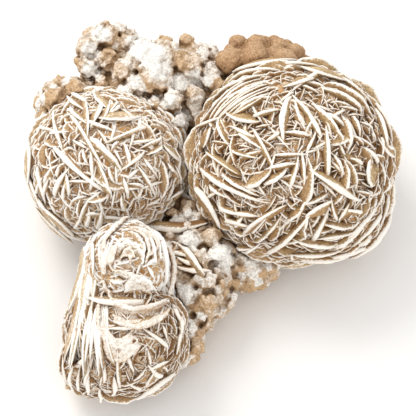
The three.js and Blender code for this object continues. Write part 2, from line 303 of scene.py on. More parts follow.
# Sand cemented by gypsum: matt and tan, with the white net of the finest blades over it.
heart_net = fine_lattice("finest_blades_in_sand", "A07648", "CFA574", "F6E9D6")
hearts = joined_balls("hearts", [
    (BODY_BLANK, rose.middle, rose.half * HEART_SHARE)
    for rose in (RIGHT_ROSE, RIGHT_SHOULDER, LEFT_ROSE, LOWER_ROSE, LOWER_FAN, BUD, NECK)])
add_piece("rose_hearts", remeshed(
    "rose_hearts", hearts, HEART_VOXEL_MM, HEART_BUMPS_MM), heart_net)


# The right rose, the largest: a globe of gypsum blades that grew through each other. Each blade
# is a flat lens with a blunt rim that stands proud, a flank that swells towards the root, and
# two ends that run out between its neighbours. The crystals hold sand, and frost on the rims.

# Lifts are how far out a place is, where the surface of the rose is 1.
CREST_LIFT = 1.05
RIM_CROWDING = 2.2
ROOT_CLOSING = 6
END_ROUNDING = 0.7


def blade_blank(steps, rings, bluntness):
    """A grid folded over its rim: x runs along the rim, y down the flank, z across."""
    bm = bmesh.new()
    bmesh.ops.create_grid(bm, x_segments=steps, y_segments=2 * rings, size=1)
    for vert in bm.verts:
        along, fold = vert.co.x, vert.co.y
        down = abs(fold) ** RIM_CROWDING
        closed = 1 - down ** ROOT_CLOSING
        pointed = max(1 - abs(along) ** bluntness, 0) ** END_ROUNDING
        side = 0 if abs(fold) < 1e-4 else math.copysign(closed * pointed, fold)
        vert.co = (along, down, side)
    bmesh.ops.remove_doubles(bm, verts=bm.verts, dist=1e-5)
    bmesh.ops.recalc_face_normals(bm, faces=bm.faces)
    bmesh.ops.triangulate(bm, faces=bm.faces)
    corners = np.array([vert.co[:] for vert in bm.verts])
    bm.verts.index_update()
    sides = np.array([[vert.index for vert in face.verts] for face in bm.faces])
    bm.free()
    return corners, sides


LARGE_BLANK = blade_blank(26, 7, 4)
FAR_BLANK = blade_blank(18, 5, 4)
MIDDLING_BLANK = blade_blank(9, 4, 5)
SMALL_BLANK = blade_blank(4, 3, 8)


class Blade:
    """Where one blade stands: the middle of its disc, its axes, its radius and half-angle."""

    def __init__(self, middle, along, out, radius, half_angle, depth, thickness, tint):
        self.middle = middle
        self.along = along
        self.out = out
        self.facing = np.cross(out, along)
        self.radius = radius
        self.half_angle = half_angle
        self.depth = depth
        self.thickness = thickness
        self.tint = tint


WIDEST_BLADE_MM = 22
PAST_THE_ENDS = 1.12


def unit(vector):
    return vector / np.linalg.norm(vector)


def blade_through(start, crest, end, thickness, depth, lean, tint):
    """The blade whose rim passes through three points, leaning a little to one side."""
    chord = end - start
    along = unit(chord)
    half_chord = np.linalg.norm(chord) / 2
    foot = (start + end) / 2
    rise = crest - foot
    rise = rise - along * np.dot(rise, along)
    height = np.linalg.norm(rise)
    out = rise / height
    radius = min((half_chord ** 2 + height ** 2) / (2 * height), WIDEST_BLADE_MM)
    out = unit(out + np.cross(out, along) * lean)
    middle = crest - out * radius
    half_angle = math.asin(min(half_chord / radius, 1)) if height < radius else math.pi / 2
    return Blade(middle, along, out, radius, half_angle * PAST_THE_ENDS, depth, thickness, tint)


# How a blade swells below its rim, how its rim is bent and chipped, and how far the frost
# reaches down from it. A blade is thickest at one place of its run.
FLARE = 0.3
FLARE_POWER = 0.9
RIM_ROUND_MM = 0.25
BEND_SHARE = 0.3
BEND_WAVES = 2.6
RAGGED_MM = ((0.35, 9), (0.2, 23))
THINNEST_SHARE = 0.6
PLUMP_SHARE = 0.6
PLUMP_PLACE = (-0.5, 0.5)
PLUMP_LENGTH = (0.3, 0.7)
FROST_REACH_MM = 0.15
FROST_REACH_SHARE = 0.12
FROST_VARIATION = (0.8, 2.6)


def blades_mesh(name, blades, blank, rose, random):
    """One mesh of all the blades, with how white the rim is, how deep a point lies, and tint."""
    corners, sides = blank
    run, down, across = corners.T
    points, rims, tints, depths = [], [], [], []
    (notch_mm, notch_waves), (chip_mm, chip_waves) = RAGGED_MM
    for blade in blades:
        angle = run * blade.half_angle
        wave = random.uniform(0, 2 * math.pi, 3)
        ragged = notch_mm * np.sin(angle * notch_waves + wave[0])
        ragged = ragged + chip_mm * np.sin(angle * chip_waves + wave[1])
        below = blade.depth * down
        reach = blade.radius - below + ragged * min(1, blade.thickness / 2)
        bend = BEND_SHARE * blade.thickness * np.sin(run * BEND_WAVES + wave[2])
        plump_place = (run - random.uniform(*PLUMP_PLACE)) / random.uniform(*PLUMP_LENGTH)
        plump = THINNEST_SHARE + PLUMP_SHARE * np.exp(-plump_place ** 2)
        rounded = np.sqrt(np.minimum(below / RIM_ROUND_MM, 1))
        half = blade.thickness / 2 * plump * rounded + FLARE * below ** FLARE_POWER
        side = across * half + bend
        placed = (blade.middle
                  + np.outer(reach * np.sin(angle), blade.along)
                  + np.outer(reach * np.cos(angle), blade.out)
                  + np.outer(side, blade.facing))
        points.append(placed)
        frost_mm = FROST_REACH_MM + FROST_REACH_SHARE * blade.thickness
        rims.append(np.exp(-below / (frost_mm * random.uniform(*FROST_VARIATION))))
        tints.append(np.full(len(run), blade.tint))
        depths.append(below)
    points = np.concatenate(points)
    first_corners = np.arange(len(blades)) * len(corners)
    faces = (sides[None, :, :] + first_corners[:, None, None]).reshape(-1, 3)
    mesh = bpy.data.meshes.new(name)
    mesh.from_pydata(points * MM, [], faces)
    lift = (rose.share(points) - HEART_SHARE) / (CREST_LIFT - HEART_SHARE)
    for label, values in (("rim", np.concatenate(rims)), ("lift", np.clip(lift, 0, 1)),
                          ("tint", np.concatenate(tints)), ("depth", np.concatenate(depths))):
        attribute = mesh.attributes.new(label, "FLOAT", "POINT")
        attribute.data.foreach_set("value", values.astype(np.float32))
    trim_at_ground(mesh)
    mesh.polygons.foreach_set("use_smooth", [True] * len(mesh.polygons))
    return mesh


def frosted_gypsum(name, recess, flank, honey, rim_white, frost_from):
    """Gypsum with sand in it: banded tan flanks, brown sand and painted shade in the gaps, sugary
    white rims.

    The grains are drawn at 0.9 mm, about three times their real size, or they wouldn't show.
    """
    grain_mm, patch_mm, band_shift = 0.9, 7, 60
    material = bpy.data.materials.new(name)
    material.use_nodes = True
    tree = material.node_tree
    shader = tree.nodes["Principled BSDF"]
    place = add_node(tree, "ShaderNodeTexCoord").outputs["Object"]
    rim = add_node(tree, "ShaderNodeAttribute", {"attribute_name": "rim"}).outputs["Fac"]
    lift = add_node(tree, "ShaderNodeAttribute", {"attribute_name": "lift"}).outputs["Fac"]
    tint = add_node(tree, "ShaderNodeAttribute", {"attribute_name": "tint"}).outputs["Fac"]
    depth = add_node(tree, "ShaderNodeAttribute", {"attribute_name": "depth"}).outputs["Fac"]
    grains = add_node(tree, "ShaderNodeTexNoise", {
        "Scale": 1 / (grain_mm * MM), "Detail": 3}, {"Vector": place})
    patches = add_node(tree, "ShaderNodeTexNoise", {
        "Scale": 1 / (patch_mm * MM), "Detail": 3}, {"Vector": place})
    honeyed = add_node(tree, "ShaderNodeMix", {
        "data_type": "RGBA", 6: colour(flank), 7: colour(honey)}, {0: tint})
    sanded = add_node(tree, "ShaderNodeMapRange", {
        "From Min": 0.34, "From Max": 0.62, "To Min": 0.6, "To Max": 1.14}, {
        "Value": grains.outputs["Fac"]})
    own_bands = add_node(tree, "ShaderNodeMath", {
        "operation": "MULTIPLY_ADD", 1: band_shift}, {0: tint, 2: depth})
    wavering = add_node(tree, "ShaderNodeMath", {"operation": "MULTIPLY_ADD", 1: 2.5}, {
        0: patches.outputs["Fac"], 2: own_bands.outputs[0]})
    growth = add_node(tree, "ShaderNodeTexNoise", {
        "noise_dimensions": "1D", "Scale": 1.1, "Detail": 3}, {"W": wavering.outputs[0]})
    banded = add_node(tree, "ShaderNodeMapRange", {
        "From Min": 0.35, "From Max": 0.65, "To Min": 0.74, "To Max": 1.16}, {
        "Value": growth.outputs["Fac"]})
    grain_and_bands = add_node(tree, "ShaderNodeMath", {"operation": "MULTIPLY"}, {
        0: sanded.outputs[0], 1: banded.outputs[0]})
    body = add_node(tree, "ShaderNodeMix", {
        "data_type": "RGBA", "blend_type": "MULTIPLY", 0: 1.0}, {
        6: honeyed.outputs[2], 7: grain_and_bands.outputs[0]})
    # Painted shade and sand: the deeper a point lies among the blades, the more it takes the dark
    # recess colour.
    open_share = add_node(tree, "ShaderNodeMapRange", {"From Min": 0, "From Max": 0.75}, {
        "Value": lift})
    streaks = add_node(tree, "ShaderNodeMapRange", {
        "From Min": 0.3, "From Max": 0.75, "To Min": 0.45}, {"Value": patches.outputs["Fac"]})
    clear_of_gaps = add_node(tree, "ShaderNodeMath", {"operation": "MULTIPLY"}, {
        0: open_share.outputs[0], 1: streaks.outputs[0]})
    sand_and_shade_in_gaps = add_node(tree, "ShaderNodeMix", {"data_type": "RGBA", 6: colour(recess)}, {
        0: clear_of_gaps.outputs[0], 7: body.outputs[2]})
    # The further out a point lies, the whiter it is drawn.
    whiter_further_out = add_node(tree, "ShaderNodeMath", {"operation": "MULTIPLY", 1: 0.6}, {0: lift})
    frost = add_node(tree, "ShaderNodeMath", {"operation": "MULTIPLY_ADD", 1: 2.0}, {
        0: rim, 2: whiter_further_out.outputs[0]})
    speckle = add_node(tree, "ShaderNodeMath", {"operation": "MULTIPLY_ADD", 1: 2.2}, {
        0: grains.outputs["Fac"], 2: frost.outputs[0]})
    mottle = add_node(tree, "ShaderNodeMath", {"operation": "MULTIPLY_ADD", 1: 0.9}, {
        0: patches.outputs["Fac"], 2: speckle.outputs[0]})
    white = add_node(tree, "ShaderNodeMapRange", {
        "From Min": frost_from + 0.6, "From Max": frost_from + 1.5}, {
        "Value": mottle.outputs[0]})
    paint = add_node(tree, "ShaderNodeMix", {"data_type": "RGBA", 7: colour(rim_white)}, {
        0: white.outputs[0], 6: sand_and_shade_in_gaps.outputs[2]})
    tree.links.new(paint.outputs[2], shader.inputs["Base Color"])
    shader.inputs["Roughness"].default_value = 0.7
    shader.inputs["IOR"].default_value = 1.52
    shader.inputs["Specular IOR Level"].default_value = 0.35
    bump = add_node(tree, "ShaderNodeBump", {"Strength": 0.8, "Distance": 0.3 * MM}, {
        "Height": grains.outputs["Fac"]})
    tree.links.new(bump.outputs["Normal"], shader.inputs["Normal"])
    return material


# Gypsum as it grew: matt, sugary white on the rims and honey brown down in the gaps, where
# painted shade darkens the sand.
rose_gypsum = frosted_gypsum("frosted_gypsum", "8A643C", "CCA779", "E8CE9F", "FFFBF3", 1.84)

ROOT_LIFT = 0.95
PLACED_RIM_SHARE = 0.62
BLADE_DEPTH_SHARE = 0.24
PLACED_LEAN = 0.35


def placed_blades(rose, rows, random, crest_lift=CREST_LIFT):
    """Blades where the photograph shows them, from the start, crest and end of each rim."""
    depth = BLADE_DEPTH_SHARE * np.mean(rose.half)
    blades = []
    for row in rows:
        start = rose.on_surface(row[0], row[1], ROOT_LIFT)
        crest = rose.on_surface(row[2], row[3], crest_lift)
        end = rose.on_surface(row[4], row[5], ROOT_LIFT)
        lean = random.uniform(-PLACED_LEAN, PLACED_LEAN)
        blades.append(blade_through(
            start, crest, end, row[6] * PLACED_RIM_SHARE, depth, lean, random.random()))
    return blades


GOLDEN_ANGLE = math.pi * (3 - math.sqrt(5))


def chance(index):
    """A repeatable number from 0 to 1 for each whole number."""
    wave = math.sin(index * 12.9898 + 4.1414) * 43758.5453
    return wave - math.floor(wave)


def spread(count):
    """Evenly spread directions, with their numbers."""
    for index in range(count):
        z = 1 - (2 * index + 1) / count
        ring = math.sqrt(1 - z * z)
        turn = index * GOLDEN_ANGLE
        yield np.array([ring * math.cos(turn), ring * math.sin(turn), z]), index


# How squarely a direction faces the camera, where 1 is straight at it. The photograph shows
# what is above the first, and down to the second the blades lie along the outline.
FACING_SHARE = 0.3
OUTLINE_FACING = -0.15
FAR_LOWEST = -0.75
FAR_HALF_ANGLE = 1.1
FAR_RIM_SHARE = 0.7


def far_blades(rose, count, radius, seed):
    """Large blades over the sides that the photograph doesn't show."""
    blades = []
    for direction, index in spread(count):
        towards_camera = np.dot(direction, TOWARDS)
        if towards_camera >= FACING_SHARE or direction[2] <= FAR_LOWEST:
            continue
        lift = CREST_LIFT * (0.97 + 0.05 * chance(seed + index))
        crest = direction * rose.half * lift + rose.middle
        turn = 2.6 * chance(seed + index * 3) + 2.2 * direction[0] - 1.4 * direction[2]
        level = unit(np.array([-direction[1], direction[0], 0]))
        if towards_camera > OUTLINE_FACING:
            level, turn = unit(np.cross(TOWARDS, direction)), 0.1 * turn
        upright = np.cross(direction, level)
        along = level * math.cos(turn) + upright * math.sin(turn)
        lean = 0.5 * (chance(seed + index * 7) - 0.5)
        out = unit(direction + np.cross(direction, along) * lean)
        size = radius * (0.75 + 0.5 * chance(seed + index * 5))
        thickness = 1.4 + 1.2 * chance(seed + index * 11)
        blades.append(Blade(
            crest - out * size, along, out, size, FAR_HALF_ANGLE,
            BLADE_DEPTH_SHARE * np.mean(rose.half), thickness * FAR_RIM_SHARE,
            chance(seed + index * 13)))
    return blades


# Blades that face the camera less than this are smaller, and lie in rings round the side.
SIDE_FACING = 0.55
SIDE_BLUR = 0.08
SIDE_SIZE_SHARE = 0.75
RING_TURN = 0.3
ROOT_SAG_MM = 1.5
NET_LOWEST = -0.85
CROSSING_ANGLES = [0, 1.05, 2.1]
CROSSING_BLUR = 0.22
DIRECTION_BLUR = 0.03
NET_LEAN = 0.35


def scattered_blades(rose, count, lifts, radii_mm, rims_mm, depth, random):
    """Blades at random: crossing sets on the face, and stacked rings round the sides."""
    blades = []
    for direction, index in spread(count):
        if direction[2] < NET_LOWEST:
            continue
        direction = unit(direction + random.normal(0, DIRECTION_BLUR, 3))
        lift = random.uniform(*lifts)
        crest = direction * rose.half * lift + rose.middle
        at_side = np.dot(direction, TOWARDS) < SIDE_FACING + random.normal(0, SIDE_BLUR)
        if at_side:
            level = unit(np.cross(TOWARDS, direction))
            turn = random.normal(0, RING_TURN)
        else:
            level = unit(np.array([-direction[1], direction[0], 1e-6]))
            drift = (2.0 * math.sin(direction[0] * 3.1 + direction[1] * 2.3)
                     + 1.6 * math.sin(direction[2] * 4.0))
            turn = drift + random.choice(CROSSING_ANGLES) + random.normal(0, CROSSING_BLUR)
        along = level * math.cos(turn) + np.cross(direction, level) * math.sin(turn)
        out = unit(direction + np.cross(direction, along) * random.normal(0, NET_LEAN))
        along = unit(along - out * np.dot(along, out))
        radius = random.uniform(*radii_mm) * (SIDE_SIZE_SHARE if at_side else 1)
        sag = (lift - HEART_SHARE) * np.mean(rose.half) + ROOT_SAG_MM
        half_angle = math.acos(max(1 - sag / radius, 0))
        blades.append(Blade(crest - out * radius, along, out, radius, half_angle,
                            min(radius, depth), random.uniform(*rims_mm), random.random()))
    return blades


def blade_piece(name, blades, blank, rose, material, random):
    add_piece(name, blades_mesh(name, blades, blank, rose, random), material)


# Each set of a net: its name, lifts, radii, rims and depth in mm, and its blank.
MIDDLING_SET = ("middling_blades", (0.985, 1.03), (4.5, 11), (0.5, 0.9), 5, MIDDLING_BLANK)
SMALL_SET = ("small_blades", (0.965, 1.005), (2.8, 6.5), (0.3, 0.5), 3, SMALL_BLANK)


def blade_net(rose_name, rose, middling, small, material, random):
    """The blades between the placed ones: middling ones, and small ones low between them."""
    for count, blade_set in ((middling, MIDDLING_SET), (small, SMALL_SET)):
        kind, lifts, radii_mm, rims_mm, depth, blank = blade_set
        name = f"{rose_name}_{kind}"
        blades = scattered_blades(rose, count, lifts, radii_mm, rims_mm, depth, random)
        blade_piece(name, blades, blank, rose, material, random)


# The right rose's own blades: long curved ones round a tall middle one, and a thick plate at
# its lower left. A row is three points of a rim, as (across, up) mm from the rose's middle as
# the camera sees it, and the thickness of the rim.
RIGHT_BLADES = [
    (-1.2, 28.8, -3.6, 20, -5.2, 9.6, 3), (-3.6, 11.2, 2, 11.8, 7.6, 10.4, 1.6),
    (-0.8, 25.6, 5.8, 19.4, 11.2, 6, 2.4), (0.4, 20, 2, 18, 4, 15.2, 2.4),
    (2, 31.2, 10.4, 36, 16.4, 38.4, 1.6), (0, 30.4, 5.2, 32.4, 12, 33.2, 2),
    (12, 32.4, 25.2, 27.6, 32.8, 16, 2), (11.2, 28, 21.6, 26, 29.2, 18, 2),
    (8, 23.2, 16, 16, 21.6, 3.6, 2.4), (13.2, 20, 17.6, 17.2, 21.2, 13.2, 1.6),
    (19.6, 20, 23.2, 12.8, 22.4, 4.8, 2), (22.4, 21.2, 26, 15.6, 25.2, 12.8, 1.6),
    (29.6, 26.4, 35.2, 18, 35.2, 10.8, 1.6), (12, 16, 14.4, 4.8, 12, -7.2, 2),
    (16.4, 3.6, 18.8, -1.6, 20, -6.4, 1.6), (19.2, 2.8, 22.4, -6.4, 19.6, -12.4, 2),
    (10.8, -8.4, 21.6, -13.2, 32.4, -19.2, 2.8), (3.2, 4.8, 4.4, -3.2, 3.6, -11.2, 1.2),
    (6.4, 0.8, 8, -10.4, 2.4, -20.4, 2), (5.2, -18, 1, -22, -3.6, -23.6, 1.6),
    (14.4, -14.4, 8.8, -18.8, 2.4, -23.2, 2), (12.4, -20, 10, -28.4, 6.8, -33.6, 2.4),
    (5.6, -22.4, 5.4, -25.8, 4.8, -28.8, 1.6), (2, -24, -4.4, -33.6, -16.4, -40.8, 2.8),
    (-7.6, -23.2, -9.6, -28.4, -14.8, -32, 1.2), (-8.8, -19.2, -13.4, -26, -18.8, -30.4, 1.2),
    (-12, -21.2, -17.6, -26.4, -26.4, -32.8, 1.6), (-20.8, -24, -22.6, -25.6, -24, -26.8, 1.6),
    (-23.6, -33.6, -20.8, -34.8, -18.8, -34, 1.6), (-22.4, -37.2, -18.4, -36, -14.4, -34, 1.6),
    (-40.8, 7.6, -33, 2.2, -29.6, -1.2, 1.2), (-41.2, 2.8, -32.8, -7.2, -16.8, -14, 2.4),
    (-30.4, -0.4, -24, -8.8, -16, -11.2, 2), (-20.8, -11.2, -14.4, -9.2, -8.8, -5.2, 2),
    (-38, -6.4, -34.6, -16, -28, -23.2, 3), (-30, -22, -25, -24, -20.8, -23.6, 2),
    (-35.2, -8.4, -32, -11.4, -28, -13.6, 1.6), (-32, -16.4, -26.8, -19.4, -20.8, -21.2, 1.6),
    (-26.8, -19.2, -20.8, -21, -14.8, -21.6, 1.6), (-30, 20, -22.8, 27.6, -8.8, 30.4, 1.4),
    (-31.6, 23.2, -24, 31.2, -8, 34, 1.4), (-27.2, 32, -16.8, 36.8, -0.8, 37.6, 1.4),
    (-22.8, 36, -10.8, 39.6, 3.2, 40.8, 1.6), (-22.8, 19.6, -16.8, 24.8, -6.8, 26, 1.4),
    (-30.8, 20, -29.6, 13.6, -26.8, 7.6, 1.6), (-28.8, 20.4, -24, 17.2, -16.8, 16, 1.6),
    (-17.2, 18, -12, 6.8, -8.4, -0.4, 1.6), (-17.2, 18, -11, 19.6, -4.8, 20.8, 1.6),
    (-26.8, 16, -21.6, 13, -16.4, 10.8, 1.6), (-24.4, 12.8, -18.8, 8.6, -13.6, 5.2, 1.6),
    (-28, 5.2, -21.6, 3.2, -16, 0.8, 1.6), (-11.2, 8, -8.2, 10.2, -5.6, 12, 1.6),
    (-42, 12.4, -36.8, 15, -31.6, 17.2, 1.2), (-35.2, 6, -34, 8.8, -32.8, 11.6, 1.2),
    (-12, -1.6, -4.4, -1.2, 3.2, 0, 1.6), (-12, -10.4, -6.4, -6.8, -1.6, -2.4, 2),
    (-0.4, 0.8, 0.8, -5.2, -4, -14.8, 1.6), (30.4, 4, 33, 1.2, 35.2, -2, 2),
    (35.2, 10.8, 36, 7.6, 35.2, 4.8, 1.6), (37.6, 6, 40, 5.2, 42, 4, 1.6),
    (36.4, 4.8, 39.6, 2.4, 42, -0.4, 1.6), (24, 0.8, 26.4, -0.2, 28.4, -1.6, 1.6),
    (32.4, -3.2, 29.6, -7.2, 34, -11.2, 1.6), (15.2, -16.4, 16.6, -20.8, 17.2, -25.2, 1.6),
    (21.6, -16.8, 19.8, -20.4, 17.6, -23.6, 1.6), (22, -18.4, 26, -19.4, 30.4, -19.6, 1.6),
    (16.8, -25.6, 21.2, -26.8, 29.2, -24, 1.6), (15.2, -28, 21, -29.4, 30, -24, 1.2),
    (3.2, -38.4, 13.2, -40.4, 22, -37.2, 2.4), (5.2, -35.2, 13.2, -37.2, 24, -34, 2),
    (6.4, -32.4, 14, -34.4, 24, -32, 2), (6, 35, 15, 34, 25, 29, 1.6),
    (19, 34, 26.6, 29.4, 33, 21.6, 1.4), (-8, 39.4, 3, 40, 12, 38, 1.6),
    (34, 24, 38, 17, 40, 9, 1.6),
]
# Stepped ledges at the upper left, each a little higher and shorter than the last.
LEDGES = 9
RIGHT_BLADES += [
    (-31.6 + 1.05 * ledge, 17 + 0.1 * ledge, -23.6 + 0.85 * ledge, 30 - 0.9 * ledge,
     -1.6 - 0.5 * ledge, 38 - 1.25 * ledge, 0.8 + 0.6 * (ledge % 2))
    for ledge in range(LEDGES)
]
# The shoulder that bulges from the rose at its lower right.
SHOULDER_BLADES = [
    (22.4, 10, 24.2, 4, 22.4, -1.6, 2), (22.8, -4, 17.2, -14, 6, -22.8, 2.6),
    (15, 0, 10, -9, 1, -16, 2.2), (20.8, 1.2, 16.3, -7.8, 9.8, -14.8, 2),
    (14.4, -12.4, 12.4, -14.6, 9.4, -16.4, 2.4), (20, 8, 21, 1, 18, -6, 1.6),
    (13, -4, 6, -13.6, -3, -18.4, 2), (-6, -20.4, 4, -20.6, 13.4, -16.6, 2.2),
]
right_random = np.random.default_rng(11)
right_large = placed_blades(RIGHT_ROSE, RIGHT_BLADES, right_random)
right_large += placed_blades(RIGHT_SHOULDER, SHOULDER_BLADES, right_random)
blade_piece("right_rose_blades", right_large, LARGE_BLANK, RIGHT_ROSE, rose_gypsum, right_random)
right_far = far_blades(RIGHT_ROSE, count=45, radius=16, seed=100)
blade_piece("right_rose_far_blades", right_far, FAR_BLANK, RIGHT_ROSE, rose_gypsum, right_random)
blade_net("right_rose", RIGHT_ROSE, 420, 2400, rose_gypsum, right_random)
blade_net("right_shoulder", RIGHT_SHOULDER, 90, 500, rose_gypsum, right_random)


# The left rose: a globe of thin gypsum blades, fanned out at its top, with two thick ones that
# cross in the middle, and thin parallel sheets along its lower left edge.
LEFT_BLADES = [
    (-7.6, 12, 0.4, 6, 7.2, -4, 3), (-24, 6.8, -13.6, -0.8, -1.2, -12, 2.8),
    (-30.4, 16, -25, 15, -20, 13.6, 1.2), (-25.2, 12.8, -21.6, 12.8, -18, 12.4, 1.2),
    (-22.4, 26.8, -21.2, 17.6, -18.8, 12.8, 1.6), (-19.6, 25.6, -12, 16.4, -6, 6, 2),
    (-17.2, 24.8, -14.2, 21.8, -11.6, 18.4, 1.4), (-18.8, 28.8, -14.6, 26.2, -10.8, 22.8, 1.6),
    (-16.4, 30.8, -12, 28, -8.4, 24.4, 1.6), (-10.8, 33.2, -8, 24, -8, 18, 1.2),
    (-6, 32, -5.2, 28, -3.2, 25.6, 1.2), (-1.6, 29.2, -2.8, 23.6, -4.8, 18.4, 1),
    (0, 29.2, -1.6, 23.8, -3.6, 18.4, 1), (2.4, 26, 0.8, 22, -1.2, 18.4, 1.2),
    (5.6, 26.8, 4, 24.2, 2, 22, 1.2), (6.4, 24.4, 4.6, 23, 2.8, 21.2, 1.2),
    (5.6, 22.4, 8.4, 20.8, 10.8, 18.8, 1.2), (-11.6, 18.4, -4.8, 16.8, 4.4, 12.4, 1.6),
    (-1.6, 17.6, 7.2, 17.8, 16.4, 19.6, 2), (4.4, 11.2, 12, 14.4, 23.2, 16.4, 1.6),
    (7.2, 10, 8.6, 5, 9.2, 0, 1.6), (1.6, 6.4, 3.4, 8.2, 4.8, 9.6, 1.2),
    (16.4, 6, 11.8, 1.8, 6.8, -2.8, 1.6), (15.6, 8, 19.8, 10, 24, 11.6, 1.2),
    (17.6, 4, 21.4, 6, 23.2, 8.8, 1.2), (25.6, 4.4, 28.6, 1.8, 31.2, -1.2, 1.2),
    (22.4, 2.8, 24.4, -6.8, 22.4, -14.8, 1.6), (14, -2, 18, -8.4, 21.6, -15.2, 1.2),
    (15.6, 2, 18.6, -2.2, 21.2, -6.8, 1.2), (25.2, -1.2, 26.8, -2.4, 28, -4, 1.2),
    (29.2, -4, 30, -6.6, 30, -9.2, 1.2), (31.6, -8.8, 29.8, -10.6, 27.6, -12, 1.2),
    (7.2, -6, 8.2, -10.4, 8.4, -14.8, 1.6), (5.6, -14, 6.4, -17, 6.4, -20, 1.6),
    (8.4, -5.2, 10.8, -3.4, 13.2, -2, 1.2), (10, -6.8, 13.2, -8, 16.4, -8.8, 1.2),
    (30.4, -14, 31.2, -16.4, 31.6, -18.8, 1.2), (29.2, -18.4, 26.8, -21.2, 24, -23.6, 1.2),
    (-19.2, 0, -19.8, -2.6, -20, -5.2, 1.2), (-17.2, -4, -20.2, -9.4, -22.8, -15.2, 2),
    (-15.6, -4, -14.8, -8.6, -14.8, -13.2, 1.2), (-16.4, -8, -17.4, -12, -18, -16, 1.2),
    (-24, -8.4, -25.2, -11.2, -25.6, -14, 1.2), (-28.8, 0, -27.8, -3.8, -26.4, -7.6, 1.2),
    (-27.6, -8.4, -28.4, -10.8, -28.8, -13.2, 1.2), (-8.4, -15.6, -4, -15, 0.4, -13.2, 1.6),
    (-9.2, -19.6, -6.4, -19.6, -3.6, -18.8, 1.2), (-11.2, -15.2, -11.8, -19, -11.6, -22.8, 1.2),
    (-9.2, -16.8, -10.6, -21, -12.4, -25.2, 1.2), (-6.8, -20, -7.4, -23.4, -7.6, -26.8, 2),
    (-2, -20.8, -3.4, -24.4, -4.8, -28, 2.4), (-7.6, 6, -6.2, 0, -6, -6, 1.6),
    (-10, 6.8, -8.8, 3.4, -7.6, 0, 1.2), (-5.6, 6, -0.8, -4, 2.4, -12, 1.2),
    (0.4, -1.2, 1.8, -4.4, 2.8, -7.6, 1.2), (-1.2, -6, 1.2, -10, 3.2, -14, 1.2),
    (-29.6, -16, -22, -24.4, -14, -31.2, 1.2), (-26.8, -14, -18.8, -22.8, -10.8, -29.2, 1.2),
    (-31.4, -2, -29.6, -10, -24, -18.6, 1.4), (-30, -9, -25.8, -16.8, -18.8, -24, 1.4),
    (-30.8, 10, -31.2, 3, -30, -4.4, 1.4), (-27.2, -2, -26.6, -9, -22.8, -15.8, 1.2),
    (-22, -23, -15.6, -28.4, -8, -30.4, 1.4),
]
# Paler gypsum than the right rose's, with less sand in it and more frost.
pale_gypsum = frosted_gypsum("pale_frosted_gypsum", "A27E58", "D8BA92", "EFDCB8", "FFFDF8", 1.65)
left_random = np.random.default_rng(23)
left_large = placed_blades(LEFT_ROSE, LEFT_BLADES, left_random)
blade_piece("left_rose_blades", left_large, LARGE_BLANK, LEFT_ROSE, pale_gypsum, left_random)
left_far = far_blades(LEFT_ROSE, count=28, radius=13, seed=300)
blade_piece("left_rose_far_blades", left_far, FAR_BLANK, LEFT_ROSE, pale_gypsum, left_random)
blade_net("left_rose", LEFT_ROSE, 260, 1500, pale_gypsum, left_random)


# The lower rose, a globe of gypsum blades with a white rosette bud grown on its top: rings of
# petals on the bud, thin upright sheets down the left flank, and a fan of blades at the foot.
BUD_BLADES = [
    (-5.6, -1.2, -0.4, 8.8, 5.6, 0, 3), (1.6, 12.8, 6.8, 8, 6.8, 0, 2.2),
    (2, 16.4, 9.6, 10.4, 10.4, 3.6, 1.4), (4.8, 16.8, 12, 10.4, 12.4, 4.8, 1.2),
    (-0.4, 18, -6, 13.6, -9.6, 8, 2.4), (-3.6, 12, -6.4, 6.8, -7.2, 0, 1.2),
    (-6.4, 10.4, -8.4, 4.8, -8.8, -0.8, 1.2), (-9.2, 12, -10.8, 5.6, -10.8, -0.8, 1.2),
    (-12.4, 10.8, -13.2, 4.8, -12.4, -1.2, 1.2), (-5.2, -3.6, 1.6, -4.4, 8, -7.6, 2.4),
    (0, -12, 5.2, -5.2, 9.6, -11.2, 2.4), (-7.2, -7.2, -4, -8.4, -0.8, -7.6, 1.8),
    (8, -1.6, 10.4, 0.6, 12.8, 2.8, 1.6), (8.4, -2.4, 10, -4.8, 11.6, -7.2, 1.2),
    (10, -8.8, 11.2, -11, 12.4, -13.2, 1.2), (12, 11.6, 15.2, 2.8, 16, -11.2, 2.8),
]
# Thin sheets that stand side by side, each with its own length: on the flank, and above it at
# the waist, where they run from the bud down to the flank.
SHEET_LIFT = 1.01
FLANK_SHEETS = 24
FLANK_BLADES = [
    (-15.4 + 0.44 * sheet, 19 + 4 * chance(sheet), -20.6 + 0.58 * sheet + 0.8 * chance(sheet + 40),
     3 + 8 * chance(sheet + 80), -22 + 0.72 * sheet, -8 + 7 * chance(sheet + 120),
     0.7 + 1.3 * chance(sheet + 160))
    for sheet in range(FLANK_SHEETS)
]
# The body whose surface the sheets at the waist follow.
WAIST = Mass([-33, -38, 26], [24, 30, 26])
WAIST_SHEETS = 16
WAIST_BLADES = [
    (-16.4 + 0.4 * sheet, 22 + 5 * chance(sheet + 7), -20.6 + 0.46 * sheet + chance(sheet + 47),
     9 + 6 * chance(sheet + 87), -22.8 + 0.6 * sheet, -6 + 7 * chance(sheet + 127),
     0.9 + 1.4 * chance(sheet + 167))
    for sheet in range(WAIST_SHEETS)
]
